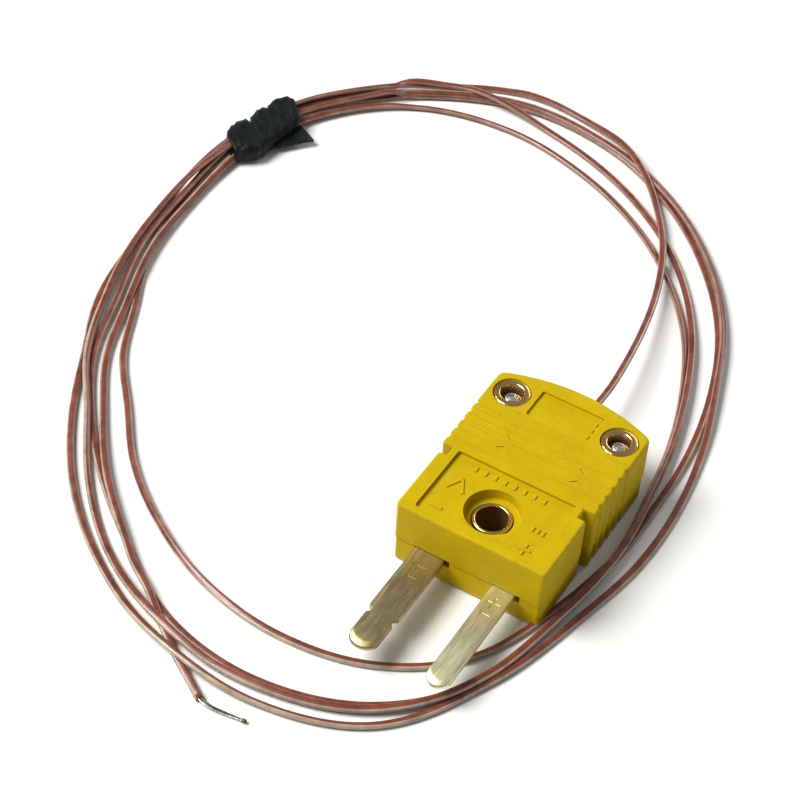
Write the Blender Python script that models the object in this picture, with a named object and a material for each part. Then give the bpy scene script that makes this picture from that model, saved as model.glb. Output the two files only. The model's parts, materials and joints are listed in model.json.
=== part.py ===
"""Fine-wire thermocouple with a flat two-pin plug and a loose tied coil of lead.

Frame: +Z up, the plug lies flat on Z = 0, its blades point along -Y and its lead leaves along +Y.
The origin is under the middle of the plug's own box. Lengths below are in millimetres.
"""

import math

import bmesh
import bpy

MM = 0.001

# Plug body
BODY_HALF_WIDTH = 8.25
FRONT_HALF_WIDTH = 7.62
BODY_HEIGHT = 7.87
LOWER_TOP = 3.05
UPPER_BOTTOM = 3.35
FRONT_Y = -4.70
REAR_Y = 17.40
REAR_BOW = 1.73
NECK_HALF_WIDTH = 7.00
NECK_FRONT_Y = 3.70
NECK_REAR_Y = 4.70
SERRATIONS = 5
SERRATION_PITCH = 1.30
SERRATION_FIRST_Y = 5.50
SERRATION_DEPTH = 0.50
EDGE_ROUND = 0.45
LOWER_INSET = 0.10
LOWER_ROUND = 0.30

# Blades
PIN_SPACING = 7.92
BLADE_THICKNESS = 0.79
BLADE_TOP = 3.21
BLADE_REACH = 12.70
BROAD_BLADE = 3.18
NARROW_BLADE = 2.39
BLADE_REAR_Y = 9.40
TERMINAL_Y = 7.60

# Hardware
BUSH_Y = -0.39
INSERT_X = 5.89
INSERT_Y = 13.65
SCREW_RADIUS = 0.80
SCREW_HEAD_RADIUS = 1.45
SCREW_HEAD_BOTTOM = 0.75
SCREW_HEAD_HEIGHT = 0.80
SCREW_TIP_Z = 6.87

# Lead
LEAD_DIAMETER = 0.80
LEAD_Z = 3.20
FACE_GAP = 0.30

# Coil: an oval lying on Z = 0, measured from its own middle, one pair of radii every 15 degrees
COIL_X = -20.0
COIL_Y = 16.3
COIL_TURN = math.radians(28.6)
COIL_INNER = (
    42.0, 40.4, 37.3, 34.3, 31.7, 29.7, 28.4, 28.0, 28.6, 30.7, 33.6, 36.0,
    37.0, 35.6, 33.2, 30.5, 28.4, 27.2, 27.2, 28.2, 30.4, 32.9, 37.0, 40.5,
)
COIL_OUTER = (
    47.4, 48.4, 45.6, 41.8, 38.2, 35.2, 33.0, 32.3, 32.8, 34.1, 36.2, 40.2,
    44.6, 44.4, 41.9, 38.7, 35.6, 33.6, 32.7, 33.1, 34.3, 36.8, 40.6, 44.3,
)
COIL_HEIGHT = 1.90
TIE_ANGLE = math.radians(-25.7)
TIE_HALF_LENGTH = 4.6
TIE_LIFT = 1.0


def clear_scene():
    for obj in list(bpy.data.objects):
        bpy.data.objects.remove(obj, do_unlink=True)


def material(name, colour, roughness, metallic):
    made = bpy.data.materials.new(name)
    made.use_nodes = True
    shader = made.node_tree.nodes["Principled BSDF"]
    shader.inputs["Base Color"].default_value = (*colour, 1.0)
    shader.inputs["Roughness"].default_value = roughness
    shader.inputs["Metallic"].default_value = metallic
    return made


def place(name, mesh, look, at=(0.0, 0.0, 0.0), smooth=False):
    """Puts a mesh in the scene under the plug's empty, at a position in millimetres."""
    obj = bpy.data.objects.new(name, mesh)
    bpy.context.scene.collection.objects.link(obj)
    obj.location = [MM * value for value in at]
    obj.parent = ROOT
    if look is not None:
        mesh.materials.append(look)
    if smooth:
        mesh.shade_smooth()
        mesh.set_sharp_from_angle(angle=math.radians(35.0))
    return obj


def finish(bm, name):
    bmesh.ops.recalc_face_normals(bm, faces=bm.faces)
    mesh = bpy.data.meshes.new(name)
    bm.to_mesh(mesh)
    bm.free()
    return mesh


def lofted(name, sections):
    """A closed solid through rings of points, each a list of (x, y, z) in millimetres."""
    bm = bmesh.new()
    rings = [[bm.verts.new([MM * v for v in point]) for point in ring] for ring in sections]
    count = len(rings[0])
    for low, high in zip(rings, rings[1:]):
        for i in range(count):
            j = (i + 1) % count
            bm.faces.new((low[i], low[j], high[j], high[i]))
    bm.faces.new(rings[0])
    bm.faces.new(rings[-1])
    return finish(bm, name)


def prism(name, outline, bottom, top):
    return lofted(name, [[(x, y, z) for x, y in outline] for z in (bottom, top)])


def box(name, low, high):
    outline = [(low[0], low[1]), (high[0], low[1]), (high[0], high[1]), (low[0], high[1])]
    return prism(name, outline, low[2], high[2])


def turned(name, profile, sides, ring=False):
    """A solid turned about Z from (radius, z) points; a ring's profile closes on itself."""
    bm = bmesh.new()
    rows = []
    for radius, z in profile:
        if radius == 0.0:
            rows.append([bm.verts.new((0.0, 0.0, MM * z))] * sides)
            continue
        row = []
        for k in range(sides):
            angle = 2.0 * math.pi * k / sides
            row.append(bm.verts.new((MM * radius * math.cos(angle), MM * radius * math.sin(angle), MM * z)))
        rows.append(row)
    pairs = list(zip(rows, rows[1:]))
    if ring:
        pairs.append((rows[-1], rows[0]))
    for low, high in pairs:
        for k in range(sides):
            j = (k + 1) % sides
            corners = []
            for vert in (low[k], low[j], high[j], high[k]):
                if vert not in corners:
                    corners.append(vert)
            bm.faces.new(corners)
    return finish(bm, name)


def tube(name, points, diameter, look):
    """A round wire through points in millimetres."""
    curve = bpy.data.curves.new(name, "CURVE")
    curve.dimensions = "3D"
    curve.bevel_depth = MM * diameter / 2.0
    curve.bevel_resolution = 2
    curve.use_fill_caps = True
    spline = curve.splines.new("POLY")
    spline.points.add(len(points) - 1)
    for slot, point in zip(spline.points, points):
        slot.co = (*[MM * value for value in point], 1.0)
    obj = bpy.data.objects.new(name, curve)
    bpy.context.scene.collection.objects.link(obj)
    obj.parent = ROOT
    curve.materials.append(look)
    return obj


def smooth_route(knots, steps):
    """Points on a Catmull-Rom curve through the knots, the same number between each pair."""
    ends = [knots[0]] + list(knots) + [knots[-1]]
    out = []
    for a, b, c, d in zip(ends, ends[1:], ends[2:], ends[3:]):
        for k in range(steps):
            t = k / steps
            point = []
            for p0, p1, p2, p3 in zip(a, b, c, d):
                cubic = (2.0 * p1 + (p2 - p0) * t + (2.0 * p0 - 5.0 * p1 + 4.0 * p2 - p3) * t**2
                         + (3.0 * p1 - p0 - 3.0 * p2 + p3) * t**3) / 2.0
                point.append(cubic)
            out.append(tuple(point))
    out.append(tuple(knots[-1]))
    return out


def cutter(name, mesh, at=(0.0, 0.0, 0.0)):
    obj = place(name, mesh, None, at)
    obj.hide_render = True
    obj.display_type = "WIRE"
    return obj


def boolean(target, other, operation="DIFFERENCE"):
    modifier = target.modifiers.new(other.name, "BOOLEAN")
    modifier.operation = operation
    modifier.solver = "EXACT"
    modifier.object = other


def cut(target, *others):
    for other in others:
        boolean(target, other)


# ---------------------------------------------------------------- body shape


def rear_y(x, inset):
    return REAR_Y - inset - REAR_BOW * (x / BODY_HALF_WIDTH) ** 2


def body_outline(inset):
    """The plug seen from above, every wall moved in by the inset."""
    front = FRONT_HALF_WIDTH - inset
    side = BODY_HALF_WIDTH - inset
    neck = NECK_HALF_WIDTH - inset
    nose = FRONT_Y + inset
    right = [(front - 0.45, nose), (front - 0.13, nose + 0.13), (front, nose + 0.45)]
    right.append((front, NECK_FRONT_Y - inset))
    right.append((neck, NECK_FRONT_Y - inset))
    right.append((neck, NECK_REAR_Y + inset))
    right.append((side, NECK_REAR_Y + inset))
    for k in range(SERRATIONS):
        valley = SERRATION_FIRST_Y + k * SERRATION_PITCH
        if k > 0:
            right.append((side, valley - 0.45))
        right.append((side - SERRATION_DEPTH, valley))
        right.append((side, valley + 0.45))
    right.append((side, 14.95 - inset))
    right.append((side - 0.15, 15.40 - inset))
    for x in (7.75, 6.6, 5.3, 4.0, 2.7, 1.35):
        right.append((x - inset * x / BODY_HALF_WIDTH, rear_y(x, inset)))
    left = [(-x, y) for x, y in reversed(right)]
    return right + [(0.0, rear_y(0.0, inset))] + left


def rounded(radius, top):
    """(inset, z) pairs round a top edge."""
    steps = []
    for k in range(4):
        angle = math.pi / 2.0 * k / 3.0
        steps.append((radius * (1.0 - math.cos(angle)), top + (math.sin(angle) - 1.0) * radius))
    return steps


def shell_blank(name, low_levels):
    sections = []
    for inset, z in low_levels:
        sections.append([(x, y, z) for x, y in body_outline(inset)])
    return lofted(name, sections)


def make_cutters():
    """Every hollow that the two shells share or own, as one dictionary of cutters."""
    made = {}

    def add(name, mesh, at=(0.0, 0.0, 0.0)):
        made[name] = cutter("cut_" + name, mesh, at)

    grommet = turned("grommet_seat", [(0.0, 0.0), (1.35, 0.0), (1.35, 4.0), (0.0, 4.0)], 24)
    add("grommet_seat", grommet, (0.0, 14.9, LEAD_Z))
    made["grommet_seat"].rotation_euler = (-math.pi / 2.0, 0.0, 0.0)

    # Lower shell
    add("lower_pocket", box("lower_pocket", (-6.1, 5.6, 1.0), (6.1, 11.2, 4.0)))
    add("lower_way_front", box("lower_way_front", (-2.3, 10.9, 1.3), (2.3, 12.0, 4.1)))
    add("lower_way_middle", box("lower_way_middle", (-2.25, 11.8, 2.5), (2.25, 13.5, 4.2)))
    add("lower_way_rear", box("lower_way_rear", (-2.3, 13.3, 1.2), (2.3, 15.1, 4.3)))
    seat = turned("bush_seat", [(0.0, 0.8), (2.05, 0.8), (2.05, 4.0), (0.0, 4.0)], 40)
    add("bush_seat", seat, (0.0, BUSH_Y, 0.0))
    through = turned("bush_through", [(0.0, -1.0), (1.65, -1.0), (1.65, 1.2), (0.0, 1.2)], 40)
    add("bush_through", through, (0.0, BUSH_Y, 0.0))
    for side, width in ((-1, BROAD_BLADE), (1, NARROW_BLADE)):
        middle = side * PIN_SPACING / 2.0
        half = width / 2.0 + 0.12
        relief = 0.45 if width == BROAD_BLADE else 0.0
        for tag, y0, y1 in (("front", -6.0, -3.0), ("rear", 4.3, 5.8), ("middle", -3.2, 4.5)):
            edges = sorted((middle + side * half, middle - side * (half - (relief if tag == "middle" else 0.0))))
            name = "blade_slot_%s_%s" % ("left" if side < 0 else "right", tag)
            add(name, box(name, (edges[0], y0, 2.27), (edges[1], y1, 3.7)))
    for side in (-1, 1):
        tag = "left" if side < 0 else "right"
        at = (side * INSERT_X, INSERT_Y, 0.0)
        head = turned("head_room", [(0.0, -1.0), (1.75, -1.0), (1.75, 1.95), (0.0, 1.95)], 32)
        add("head_room_" + tag, head, at)
        shank = turned("shank_room", [(0.0, 1.5), (0.95, 1.5), (0.95, 4.0), (0.0, 4.0)], 24)
        add("shank_room_" + tag, shank, at)

    # Upper shell
    add("upper_pocket", box("upper_pocket", (-6.1, 5.6, 2.0), (6.1, 11.2, 6.25)))
    add("upper_way", box("upper_way", (-2.3, 10.9, 2.1), (2.3, 15.1, 5.1)))
    hole = turned("bush_hole", [(0.0, 2.0), (2.05, 2.0), (2.05, 7.0), (0.0, 7.0)], 40)
    add("bush_hole", hole, (0.0, BUSH_Y, 0.0))
    well = turned("bush_well", [(0.0, 6.4), (2.72, 6.4), (2.85, 9.0), (0.0, 9.0)], 48)
    add("bush_well", well, (0.0, BUSH_Y, 0.0))
    for side in (-1, 1):
        tag = "left" if side < 0 else "right"
        profile = [(0.0, 2.0), (1.62, 2.0), (1.62, 7.33), (1.95, 7.33), (1.95, 9.0), (0.0, 9.0)]
        add("insert_hole_" + tag, turned("insert_hole", profile, 32), (side * INSERT_X, INSERT_Y, 0.0))
    add("front_panel", box("front_panel", (-6.35, -3.95, BODY_HEIGHT - 0.35), (6.35, 4.25, 9.0)))
    add("rear_panel", box("rear_panel", (-3.45, 11.9, BODY_HEIGHT - 0.30), (3.45, 15.55, 9.0)))
    for k in range(7):
        y = 5.3 + 0.9 * k
        high = BODY_HEIGHT + 0.02
        ridge = [(y - 0.16, 9.0), (y - 0.16, high), (y, BODY_HEIGHT - 0.16), (y + 0.16, high), (y + 0.16, 9.0)]
        name = "ridge_%d" % k
        add(name, lofted(name, [[(x, a, b) for a, b in ridge] for x in (-9.0, 9.0)]))
    return made


def make_shells(looks):
    cutters = make_cutters()
    levels = [(LOWER_INSET + LOWER_ROUND, 0.0), (LOWER_INSET + 0.09, 0.09), (LOWER_INSET, LOWER_ROUND)]
    levels.append((LOWER_INSET, LOWER_TOP))
    lower = place("lower_shell", shell_blank("lower_shell", levels), looks["yellow"])
    levels = [(0.0, UPPER_BOTTOM)] + rounded(EDGE_ROUND, BODY_HEIGHT)
    upper = place("upper_shell", shell_blank("upper_shell", levels), looks["yellow"])
    names = ["lower_pocket", "lower_way_front", "lower_way_middle", "lower_way_rear", "bush_seat", "bush_through"]
    names += [name for name in cutters if name.startswith(("blade_slot", "head_room", "shank_room"))]
    cut(lower, *[cutters[name] for name in names + ["grommet_seat"]])
    names = ["upper_pocket", "upper_way", "grommet_seat", "insert_hole_left", "insert_hole_right"]
    names += [name for name in cutters if name.startswith("ridge_")]
    names += ["front_panel", "rear_panel", "bush_hole", "bush_well"]
    cut(upper, *[cutters[name] for name in names])
    for side in (-1, 1):
        pad = turned("pad", [(0.0, 7.3), (1.05, 7.3), (1.05, BODY_HEIGHT + 0.03), (0.0, BODY_HEIGHT + 0.03)], 24)
        name = "pad_left" if side < 0 else "pad_right"
        boolean(upper, cutter(name, pad, (side * PIN_SPACING / 2.0, TERMINAL_Y, 0.0)), "UNION")


# ---------------------------------------------------------------- blades and terminals


def blade_outline(width, side, notched):
    """A blade seen from above, about its own centre line; side is +1 or -1 for the outer edge."""
    half = width / 2.0
    tip = FRONT_Y - BLADE_REACH
    points = []
    outer = [(half, BLADE_REAR_Y), (half, -4.0)]
    inner = [(half, BLADE_REAR_Y), (half, 4.6)]
    if notched:
        inner += [(half - 0.45, 4.4), (half - 0.45, -3.1), (half, -3.3)]
    if notched:
        neck = [(half, -12.65), (half - 0.12, -12.95), (half - 0.48, -13.15), (half - 0.48, -13.45)]
        neck += [(half - 0.14, -13.75), (half - 0.14, -14.0)]
        outer += neck
        inner += neck
        half -= 0.14
    for points_of in (outer, inner):
        for k in range(5):
            angle = math.pi / 2.0 * k / 5.0
            points_of.append((half * math.cos(angle), tip + 1.1 * (1.0 - math.sin(angle))))
    points += [(side * x, y) for x, y in outer]
    points.append((0.0, tip))
    points += [(-side * x, y) for x, y in reversed(inner)]
    return points


def make_blades(looks):
    for name, side, width, look in (
        ("broad_blade", -1, BROAD_BLADE, looks["alumel"]),
        ("narrow_blade", 1, NARROW_BLADE, looks["chromel"]),
    ):
        outline = blade_outline(width, side, width == BROAD_BLADE)
        levels = ((BLADE_TOP - BLADE_THICKNESS, 0.07), (BLADE_TOP - BLADE_THICKNESS + 0.1, 0.0),
                  (BLADE_TOP - 0.1, 0.0), (BLADE_TOP, 0.07))
        sections = []
        for z, inset in levels:
            ring = []
            for x, y in outline:
                shrink = 1.0 - inset / (width / 2.0)
                ring.append((x * shrink, y + (inset if y < -16.0 else 0.0), z))
            sections.append(ring)
        blade = place(name, lofted(name, sections), look, (side * PIN_SPACING / 2.0, 0.0, 0.0))
        hole = turned("hole", [(0.0, 1.0), (0.95, 1.0), (0.95, 4.5), (0.0, 4.5)], 24)
        cut(blade, cutter("cut_" + name, hole, (side * PIN_SPACING / 2.0, TERMINAL_Y, 0.0)))


def cross_recess(name, half_length, half_width, bottom, top):
    a, b = half_length, half_width
    outline = [(a, -b), (a, b), (b, b), (b, a), (-b, a), (-b, b)]
    outline += [(-x, -y) for x, y in outline]
    return prism(name, outline, bottom, top)


def make_terminals(looks):
    for pole, side in (("negative", -1), ("positive", 1)):
        at = (side * PIN_SPACING / 2.0, TERMINAL_Y, 0.0)
        washer = place(pole + "_clamp_washer", box("washer", (-1.5, -1.4, 3.66), (1.5, 1.4, 4.06)), looks["steel"], at)
        hole = turned("hole", [(0.0, 3.0), (0.95, 3.0), (0.95, 5.0), (0.0, 5.0)], 24)
        cut(washer, cutter("cut_%s_washer" % pole, hole, at))
        profile = [(0.0, 1.3), (0.62, 1.3), (0.8, 1.5), (0.8, 4.17), (1.5, 4.17), (1.5, 4.85), (1.15, 5.15), (0.0, 5.15)]
        screw = place(pole + "_terminal_screw", turned("terminal_screw", profile, 24), looks["steel"], at, True)
        cross = cross_recess("cross", 0.95, 0.19, 4.7, 5.6)
        cut(screw, cutter("cut_%s_terminal_cross" % pole, cross, at))
        route = [(side * 0.32, 11.35, 3.2), (side * 0.7, 10.75, 3.3), (side * 1.5, 10.15, 3.5), (side * 2.3, 9.75, 3.56)]
        look = looks["red"] if side < 0 else looks["clear"]
        tube(pole + "_conductor", smooth_route(route, 4), 0.42, look)
        look = looks["alumel"] if side < 0 else looks["chromel"]
        route = [(side * 2.55, 9.5, 3.5), (side * 2.72, 9.0, 3.44), (side * 2.78, 8.2, 3.43), (side * 2.78, 6.6, 3.43)]
        tube(pole + "_clamped_end", smooth_route(route, 4), 0.24, look)


# ---------------------------------------------------------------- body hardware


def make_hardware(looks):
    bush = [(1.55, 1.0), (1.95, 1.0), (1.95, 6.52), (1.83, 6.67), (1.67, 6.67), (1.55, 6.55)]
    place("centre_bush", turned("centre_bush", bush, 40, True), looks["brass"], (0.0, BUSH_Y, 0.0), True)
    for tag, side in (("left", -1), ("right", 1)):
        at = (side * INSERT_X, INSERT_Y, 0.0)
        insert = [(0.88, 3.6), (1.5, 3.6), (1.5, 7.43), (1.83, 7.43), (1.83, 7.80), (1.68, 7.92), (1.22, 7.92)]
        insert += [(1.12, 7.82), (1.12, 6.6), (0.88, 6.4)]
        place(tag + "_insert", turned("insert", insert, 32, True), looks["brass"], at, True)
        washer = [(0.9, 1.62), (1.42, 1.62), (1.42, 1.86), (0.9, 1.86)]
        place(tag + "_lock_washer", turned("lock_washer", washer, 24, True), looks["steel"], at, True)
        low, high = SCREW_HEAD_BOTTOM, SCREW_HEAD_BOTTOM + SCREW_HEAD_HEIGHT
        profile = [(0.0, low), (1.1, low), (SCREW_HEAD_RADIUS, low + 0.3), (SCREW_HEAD_RADIUS, high)]
        profile += [(SCREW_RADIUS, high), (SCREW_RADIUS, SCREW_TIP_Z - 0.2), (0.6, SCREW_TIP_Z), (0.0, SCREW_TIP_Z)]
        screw = place(tag + "_body_screw", turned("body_screw", profile, 24), looks["steel"], at, True)
        cross = cross_recess("cross", 0.85, 0.18, low - 0.5, low + 0.45)
        cut(screw, cutter("cut_%s_body_cross" % tag, cross, at))


def make_lead_entry(looks):
    grommet = [(0.56, 14.3), (1.8, 14.3), (1.8, 14.75), (1.15, 14.75), (1.15, 17.45), (1.0, 17.6), (0.56, 17.6)]
    profile = [(radius, y - 14.3) for radius, y in grommet]
    obj = place("lead_grommet", turned("lead_grommet", profile, 24, True), looks["rubber"], (0.0, 14.3, LEAD_Z), True)
    obj.rotation_euler = (-math.pi / 2.0, 0.0, 0.0)
    points = [(0.0, 11.65 + 0.99 * k, LEAD_Z) for k in range(7)]
    tube("lead_inside", points, LEAD_DIAMETER, looks["red"])
    place("strain_relief_bar", box("strain_relief_bar", (-2.0, 12.0, 3.82), (2.0, 13.3, 4.75)), looks["yellow"])


# ---------------------------------------------------------------- lead, coil, tie and measuring end


def around(table, angle):
    """A radius of the coil between the table's own ones, which stand every 15 degrees."""
    count = len(table)
    place_in_table = (angle / (2.0 * math.pi) * count) % count
    k = int(place_in_table)
    t = place_in_table - k
    a, b, c, d = (table[(k + step) % count] for step in (-1, 0, 1, 2))
    return (2.0 * b + (c - a) * t + (2.0 * a - 5.0 * b + 4.0 * c - d) * t**2 + (3.0 * b - a - 3.0 * c + d) * t**3) / 2.0


def coil_point(angle, radius, z):
    """A point at an angle measured from the oval's far end, clockwise from above."""
    across = radius * math.sin(angle)
    along = radius * math.cos(angle)
    x = COIL_X + across * math.cos(COIL_TURN) - along * math.sin(COIL_TURN)
    y = COIL_Y + across * math.sin(COIL_TURN) + along * math.cos(COIL_TURN)
    return (x, y, z)


def lift(angle):
    """How high the turns ride over the tie that passes under them."""
    off = abs((angle - TIE_ANGLE + math.pi) % (2.0 * math.pi) - math.pi)
    t = min(max((math.radians(20.0) - off) / math.radians(12.0), 0.0), 1.0)
    return TIE_LIFT * t * t * (3.0 - 2.0 * t)


def make_coil(looks):
    bm = bmesh.new()
    rings = []
    count = 72
    for k in range(count):
        angle = 2.0 * math.pi * k / count
        inner, outer = around(COIL_INNER, angle), around(COIL_OUTER, angle)
        low = lift(angle)
        high = low + COIL_HEIGHT
        section = [(inner, low + 0.5), (inner + 0.4, low), (outer - 0.4, low), (outer, low + 0.5)]
        section += [(outer, high - 0.6), (outer - 0.5, high), (inner + 0.5, high), (inner, high - 0.6)]
        rings.append([bm.verts.new([MM * v for v in coil_point(angle, r, z)]) for r, z in section])
    for k in range(count):
        near, far = rings[k], rings[(k + 1) % count]
        for i in range(8):
            j = (i + 1) % 8
            bm.faces.new((near[i], near[j], far[j], far[i]))
    place("lead_coil", finish(bm, "lead_coil"), looks["red"], smooth=True)


def make_tie(looks):
    """A strip wound round the turns: a lobed sleeve, and its free end as a flat pointed tongue."""
    bm = bmesh.new()
    outer_rings, inner_rings = [], []
    steps = 13
    middle_radius = (around(COIL_INNER, TIE_ANGLE) + around(COIL_OUTER, TIE_ANGLE)) / 2.0
    for k in range(steps):
        along = -TIE_HALF_LENGTH + 2.0 * TIE_HALF_LENGTH * k / (steps - 1)
        angle = TIE_ANGLE + along / middle_radius
        lobe = 0.30 * math.sin(math.pi * 3.0 * k / (steps - 1)) ** 2
        inner, outer = around(COIL_INNER, angle), around(COIL_OUTER, angle)
        low = lift(angle)
        high = low + COIL_HEIGHT
        hole, skin = [], []
        for sides in range(12):
            turn = 2.0 * math.pi * (sides + 0.5) / 12.0
            bulge = max(abs(math.cos(turn)), abs(math.sin(turn)))
            radial = (outer - inner) / 2.0
            upright = (high - low) / 2.0
            x, y = math.cos(turn) / bulge, math.sin(turn) / bulge
            grow = 0.38
            hole.append(((inner + outer) / 2.0 + x * (radial + grow), (low + high) / 2.0 + y * (upright + grow)))
            grow = 0.38 + 0.55 + lobe
            z = (low + high) / 2.0 + y * (upright + grow) * (0.93 if y > 0.0 else 1.0)
            skin.append(((inner + outer) / 2.0 + x * (radial + grow) * 0.96, max(z, 0.05)))
        inner_rings.append([bm.verts.new([MM * v for v in coil_point(angle, r, z)]) for r, z in hole])
        outer_rings.append([bm.verts.new([MM * v for v in coil_point(angle, r, z)]) for r, z in skin])
    for rings in (inner_rings, outer_rings):
        for near, far in zip(rings, rings[1:]):
            for i in range(12):
                j = (i + 1) % 12
                bm.faces.new((near[i], near[j], far[j], far[i]))
    for k in (0, -1):
        for i in range(12):
            j = (i + 1) % 12
            bm.faces.new((inner_rings[k][i], inner_rings[k][j], outer_rings[k][j], outer_rings[k][i]))
    tie = place("coil_tie", finish(bm, "coil_tie"), looks["film"], smooth=True)
    outline = []
    for turn, off in ((0.0, 0.6), (0.012, 1.2), (0.136, 3.4), (0.108, 0.65)):
        angle = TIE_ANGLE + turn
        outline.append(coil_point(angle, around(COIL_INNER, angle) - off, 0.0)[:2])
    boolean(tie, cutter("tongue", prism("tongue", outline, 0.5, 1.05)), "UNION")


def make_lead(looks):
    route = [
        (0.0, 17.6 + FACE_GAP, LEAD_Z),
        (0.1, 20.5, 3.22),
        (0.1, 24.0, 3.12),
        (-0.3, 28.0, 2.85),
        (-0.9, 32.0, 2.45),
        (-1.7, 36.0, 2.0),
        (-2.6, 39.5, 1.6),
        (-3.6, 42.6, 1.3),
    ]
    tube("lead_cable", smooth_route(route, 4), LEAD_DIAMETER, looks["red"])
    route = [(-14.9, -27.55, 0.42), (-14.3, -27.9, 0.42), (-13.7, -28.15, 0.42)]
    tube("lead_tail", smooth_route(route, 3), LEAD_DIAMETER, looks["red"])
    for name, shift, look in (("negative_bare_wire", -1, looks["alumel"]), ("positive_bare_wire", 1, looks["chromel"])):
        route = [(-13.35, -28.3 + 0.25 * shift, 0.36), (-12.0, -28.4 + 0.25 * shift, 0.3), (-9.4, -28.2 + 0.24 * shift, 0.3)]
        tube(name, smooth_route(route, 4), 0.2, look)
    bead = bmesh.new()
    bmesh.ops.create_uvsphere(bead, u_segments=16, v_segments=10, radius=MM * 0.3)
    place("junction_bead", finish(bead, "junction_bead"), looks["alumel"], (-8.75, -28.15, 0.32), True)


def main():
    looks = {
        "yellow": material("yellow_nylon", (0.72, 0.53, 0.01), 0.45, 0.0),
        "brass": material("brass", (0.72, 0.53, 0.25), 0.25, 1.0),
        "steel": material("plated_steel", (0.72, 0.71, 0.68), 0.3, 1.0),
        "alumel": material("negative_alloy", (0.42, 0.38, 0.29), 0.35, 1.0),
        "chromel": material("positive_alloy", (0.55, 0.54, 0.42), 0.33, 1.0),
        "rubber": material("grommet_rubber", (0.03, 0.03, 0.03), 0.7, 0.0),
        "red": material("lead_insulation", (0.38, 0.13, 0.07), 0.3, 0.0),
        "clear": material("pale_insulation", (0.72, 0.62, 0.48), 0.3, 0.0),
        "film": material("black_film", (0.012, 0.02, 0.018), 0.5, 0.0),
    }
    make_shells(looks)
    make_blades(looks)
    make_terminals(looks)
    make_hardware(looks)
    make_lead_entry(looks)
    make_coil(looks)
    make_tie(looks)
    make_lead(looks)


clear_scene()
ROOT = bpy.data.objects.new("thermocouple", None)
bpy.context.scene.collection.objects.link(ROOT)
main()
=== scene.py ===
"""A fine-wire thermocouple with a flat two-pin plug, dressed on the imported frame."""
import json
import math

import bpy
import bmesh
import numpy as np
from mathutils import Matrix, Vector


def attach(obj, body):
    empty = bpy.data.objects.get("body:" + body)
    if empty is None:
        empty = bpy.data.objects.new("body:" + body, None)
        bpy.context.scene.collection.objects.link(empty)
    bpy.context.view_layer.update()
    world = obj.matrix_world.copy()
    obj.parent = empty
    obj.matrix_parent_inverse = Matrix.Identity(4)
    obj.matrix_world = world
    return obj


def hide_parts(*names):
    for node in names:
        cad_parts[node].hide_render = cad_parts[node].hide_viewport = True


# Sizes are in millimetres unless a comment says otherwise, and Blender's own unit is the metre.
MM = 0.001

# Places that more than one piece shares.
FRONT_Y = -4.70
BUSH_AT = (0.0, -0.39, 0.0)
PIN_X = 3.96
TERMINAL_Y = 7.60
SCREW_Y = 13.65
LEAD_Z = 3.2
# Which side each blade is on and how wide it is, and where each body screw stands.
PINS = ((-1, 3.18), (1, 2.39))
SCREWS = (("left", -5.89), ("right", 5.89))

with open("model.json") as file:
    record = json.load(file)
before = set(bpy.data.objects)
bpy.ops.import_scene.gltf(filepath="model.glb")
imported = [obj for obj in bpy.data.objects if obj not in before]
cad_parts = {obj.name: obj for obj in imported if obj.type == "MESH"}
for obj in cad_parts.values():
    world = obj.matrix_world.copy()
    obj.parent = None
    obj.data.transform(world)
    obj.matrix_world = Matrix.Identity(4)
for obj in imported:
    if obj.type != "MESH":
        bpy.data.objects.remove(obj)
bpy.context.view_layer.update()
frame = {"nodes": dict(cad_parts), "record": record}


def into_scene(name, data):
    """A new object with that data, in the scene."""
    obj = bpy.data.objects.new(name, data)
    bpy.context.scene.collection.objects.link(obj)
    return obj


# ---- camera, floor and lights


def turned_axes(azimuth, elevation, roll):
    """The camera's right, up and back axes for a view from that side of the plug."""
    azimuth, elevation, roll = (math.radians(v) for v in (azimuth, elevation, roll))
    flat = math.cos(elevation)
    back = Vector((math.sin(azimuth) * flat, -math.cos(azimuth) * flat, math.sin(elevation)))
    level = Vector((math.cos(azimuth), math.sin(azimuth), 0.0))
    steep = back.cross(level)
    right = math.cos(roll) * level + math.sin(roll) * steep
    up = math.cos(roll) * steep - math.sin(roll) * level
    return right, up, back


def make_camera():
    right, up, back = turned_axes(28.63, 46.46, 3.77)
    aim_right, aim_up, distance = -6.01, 18.14, 215.76
    data = bpy.data.cameras.new("camera")
    data.sensor_width = 36.0
    data.lens = 103.5
    data.clip_start = 0.01
    data.clip_end = 10.0
    camera = into_scene("camera", data)
    place = (aim_right * right + aim_up * up + distance * back + Vector((0.0, FRONT_Y, 0.0))) * MM
    axes = Matrix((right, up, back)).transposed().to_4x4()
    camera.matrix_world = Matrix.Translation(place) @ axes
    bpy.context.scene.camera = camera


def area_light(name, at, towards, size, power, colour=(1.0, 1.0, 1.0)):
    data = bpy.data.lights.new(name, "AREA")
    data.shape = "RECTANGLE"
    data.size, data.size_y = size
    data.energy = power
    data.color = colour
    light = into_scene(name, data)
    light.location = at
    light.rotation_euler = (Vector(towards) - Vector(at)).to_track_quat("-Z", "Y").to_euler()


# The paper lies a hair below the plug's underside, so that the two never share a plane. In metres, as the stage is.
FLOOR = -0.00003


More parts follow.
